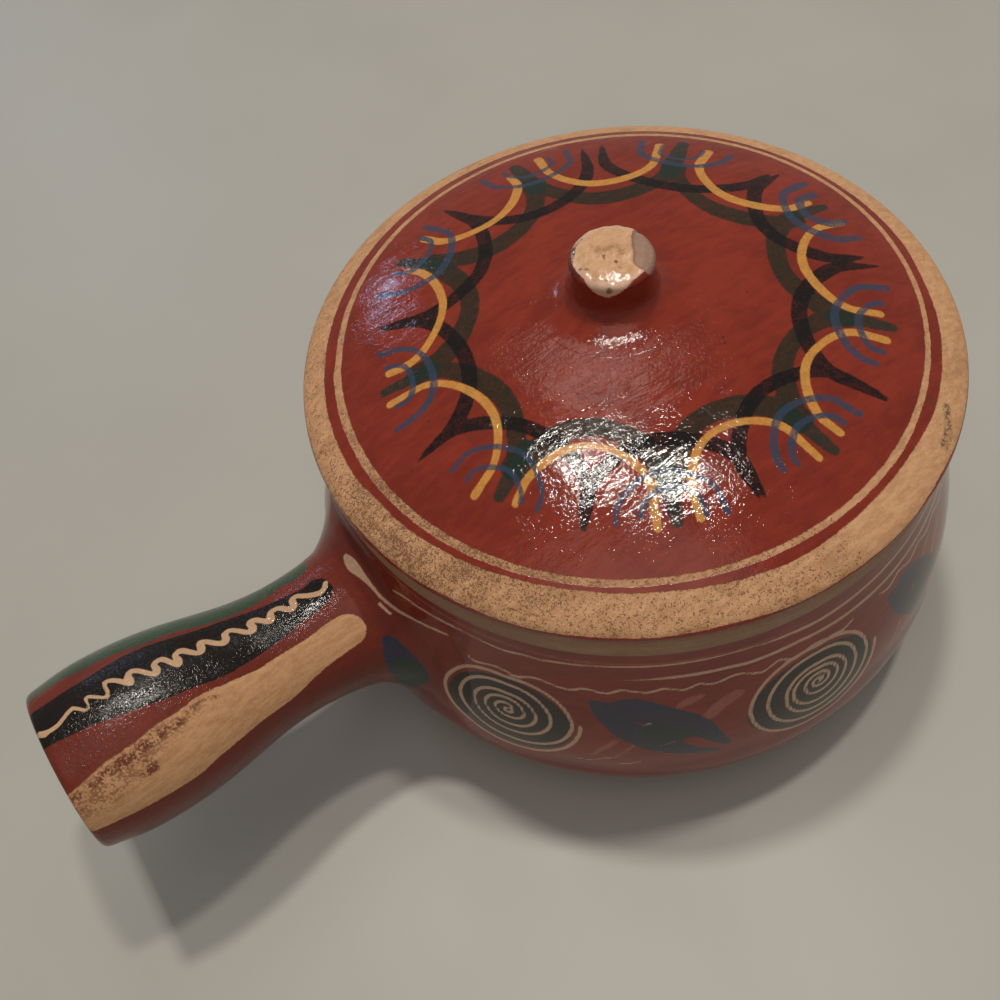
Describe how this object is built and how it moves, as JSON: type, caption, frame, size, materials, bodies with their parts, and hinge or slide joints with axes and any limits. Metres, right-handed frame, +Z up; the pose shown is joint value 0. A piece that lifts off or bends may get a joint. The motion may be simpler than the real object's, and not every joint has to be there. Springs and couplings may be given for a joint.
{
  "type": "covered clay pot",
  "caption": "Round-bellied red clay pot with a straight hollow handle and a loose domed lid with a stubby knob, painted and glazed.",
  "frame": {"origin": "centre of the flat base on the pot's axis, on the surface that the pot stands on", "axes": "+Z up along the pot's axis, -X along the handle, seen from above, towards its open end"},
  "size_m": [0.3026, 0.2076, 0.1438],
  "materials": {
    "red_glaze": "glossy clear glaze over brick-red slip with brush-painted figures",
    "cream_slip": "matte cream slip, speckled and worn",
    "bare_clay": "matte unglazed fired clay"
  },
  "bodies": {
    "pot": {"bowl": "red_glaze", "mouth_rim": "cream_slip", "handle": "red_glaze", "handle_collar": "red_glaze"},
    "lid_seat": {"lid_ring": "bare_clay"},
    "lid_top": {"lid": "red_glaze", "knob": "cream_slip", "knob_collar": "red_glaze"}
  },
  "joints": [
    {"name": "lid_lift", "type": "slide", "parent": "pot", "child": "lid_seat", "axis": [0, 0, 1], "range_m": [0, 0.1]},
    {"name": "lid_turn", "type": "hinge", "parent": "lid_seat", "child": "lid_top", "pos_m": [0, 0, 0.104], "axis": [0, 0, 1], "continuous": true}
  ]
}
